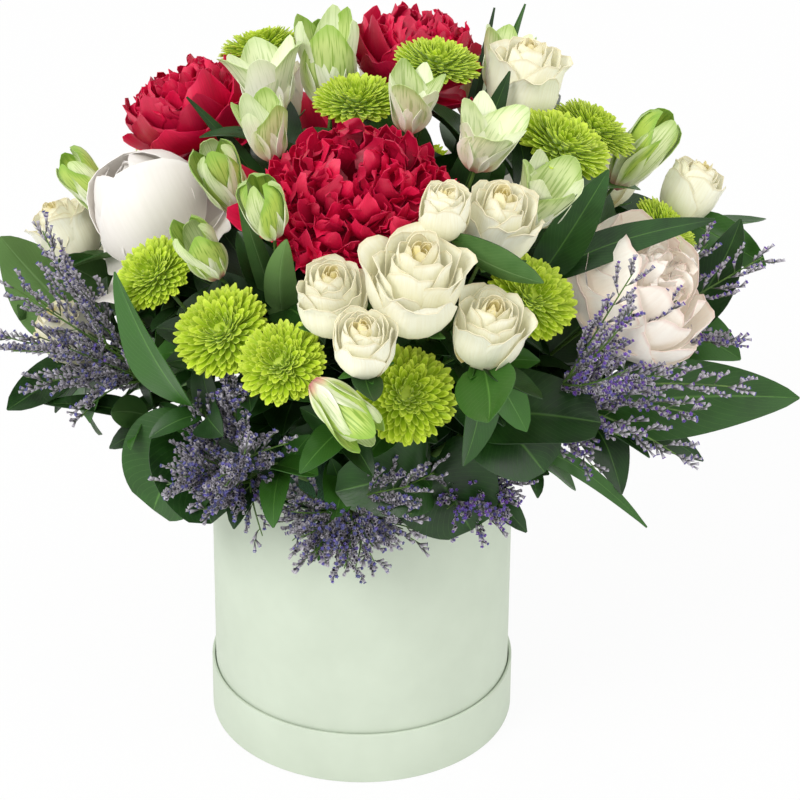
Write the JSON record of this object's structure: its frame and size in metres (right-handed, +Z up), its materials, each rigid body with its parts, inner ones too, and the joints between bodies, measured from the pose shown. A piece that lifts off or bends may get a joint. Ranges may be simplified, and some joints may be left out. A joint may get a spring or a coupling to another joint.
{
  "type": "flower box",
  "caption": "Round mint board box standing in its upturned lid, holding a dome of cut peonies, roses, chrysanthemums, alstroemeria, limonium and leaves in floral foam.",
  "frame": {"origin": "centre of the lid's underside, on the surface that the box stands on", "axes": "+Z up, -Y towards the front of the arrangement, +X to its right"},
  "size_m": [0.501, 0.4319, 0.4799],
  "materials": {
    "mint_paper": "matt pale mint paper over board",
    "board": "matt pale mint paper over board",
    "liner_film": "thin frosted waterproof film",
    "foam": "fine wet cellular foam",
    "crimson_petal": "satin petal",
    "white_petal": "satin petal",
    "blush_petal": "satin petal",
    "cream_petal": "satin petal",
    "lime_floret": "matt floret",
    "striped_tepal": "satin tepal, white with green stripes",
    "leaf": "waxy leaf",
    "limonium": "dry papery florets"
  },
  "bodies": {
    "lid": {"lid_panel": "board", "lid_rim": "mint_paper"},
    "box": {"box_base": "board", "box_wall": "mint_paper"},
    "arrangement": {"alstroemeria_back_high": "striped_tepal", "alstroemeria_back_left": "striped_tepal", "alstroemeria_far_left": "striped_tepal", "alstroemeria_front": "striped_tepal", "alstroemeria_left": "striped_tepal", "alstroemeria_right": "striped_tepal", "alstroemeria_top": "striped_tepal", "alstroemeria_top_left": "striped_tepal", "alstroemeria_top_right": "striped_tepal", "chrysanthemum_back": "lime_floret", "chrysanthemum_back_left": "lime_floret", "chrysanthemum_back_right": "lime_floret", "chrysanthemum_front": "lime_floret", "chrysanthemum_front_left": "lime_floret", "chrysanthemum_front_right": "lime_floret", "chrysanthemum_left": "lime_floret", "chrysanthemum_right": "lime_floret", "chrysanthemum_top": "lime_floret", "chrysanthemum_top_left": "lime_floret", "chrysanthemum_top_right": "lime_floret", "floral_foam": "foam", "leaf_back_left": "leaf", "leaf_back_right": "leaf", "leaf_front": "leaf", "leaf_front_left": "leaf", "leaf_front_right": "leaf", "leaf_left": "leaf", "leaf_left_high": "leaf", "leaf_right": "leaf", "leaf_right_high": "leaf", "leaf_right_low": "leaf", "leaf_top_right": "leaf", "limonium_back_left": "limonium", "limonium_back_right": "limonium", "limonium_far_right": "limonium", "limonium_front": "limonium", "limonium_front_left": "limonium", "limonium_front_right": "limonium", "limonium_left": "limonium", "limonium_right": "limonium", "liner": "liner_film", "peony_blush_back": "blush_petal", "peony_blush_right": "blush_petal", "peony_crimson_back": "crimson_petal", "peony_crimson_front": "crimson_petal", "peony_crimson_left": "crimson_petal", "peony_crimson_top": "crimson_petal", "peony_white_back": "white_petal", "peony_white_left": "white_petal", "rose_back_high": "cream_petal", "rose_back_low": "cream_petal", "rose_far_left": "cream_petal", "rose_far_right": "cream_petal", "rose_front": "cream_petal", "rose_right": "cream_petal", "rose_top": "cream_petal"}
  },
  "joints": [
    {"name": "box_lift", "type": "slide", "parent": "lid", "child": "box", "axis": [0, 0, 1], "range_m": [0, 0.05]},
    {"name": "arrangement_lift", "type": "slide", "parent": "box", "child": "arrangement", "axis": [0, 0, 1], "range_m": [0, 0.21]}
  ]
}
